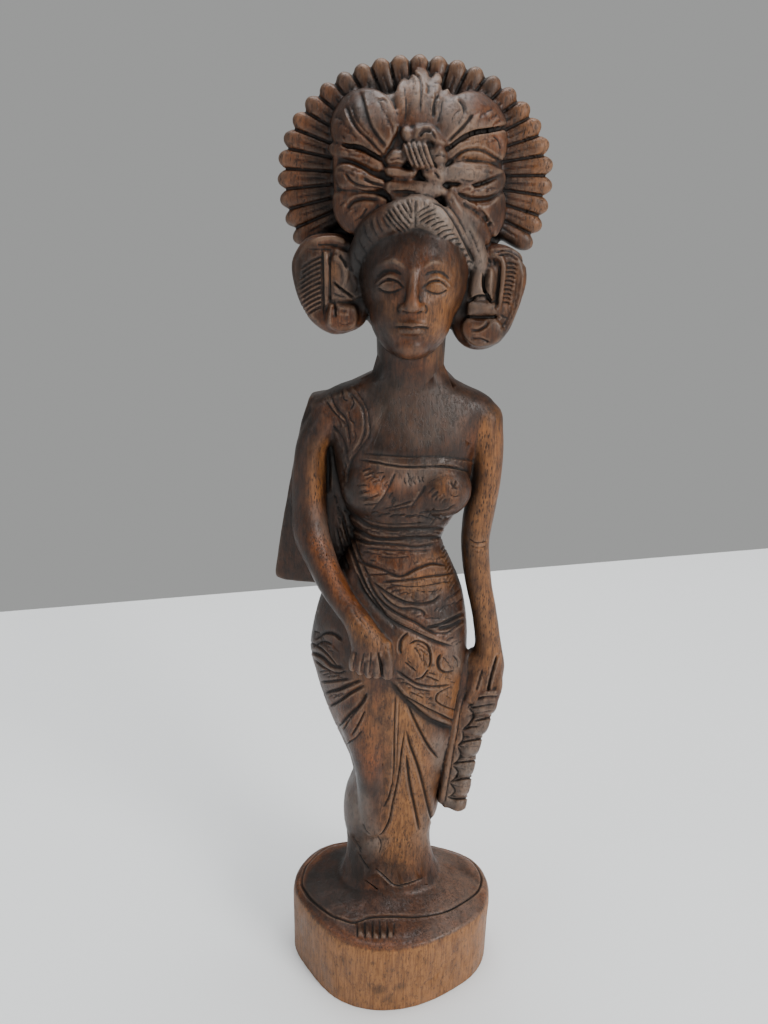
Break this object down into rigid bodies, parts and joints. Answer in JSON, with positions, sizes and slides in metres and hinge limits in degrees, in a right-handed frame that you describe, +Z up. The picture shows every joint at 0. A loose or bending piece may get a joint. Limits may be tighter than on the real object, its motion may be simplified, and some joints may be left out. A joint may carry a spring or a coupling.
{
  "type": "carved wooden figure",
  "caption": "Standing goddess in a draped dress with a fan headdress and wing-shaped ear ornaments, a hand on the hip and ruffled cloth at the side, carved whole with its plinth.",
  "frame": {"origin": "middle of the plinth's flat underside", "axes": "+Z up, -Y the way the figure faces, +X towards its left hand"},
  "size_m": [0.078, 0.0513, 0.3013],
  "materials": {
    "carved_wood": "dark stained and waxed hardwood, worn to orange-brown on the high places, satin"
  },
  "bodies": {
    "root": {"statue": "carved_wood"}
  },
  "joints": []
}
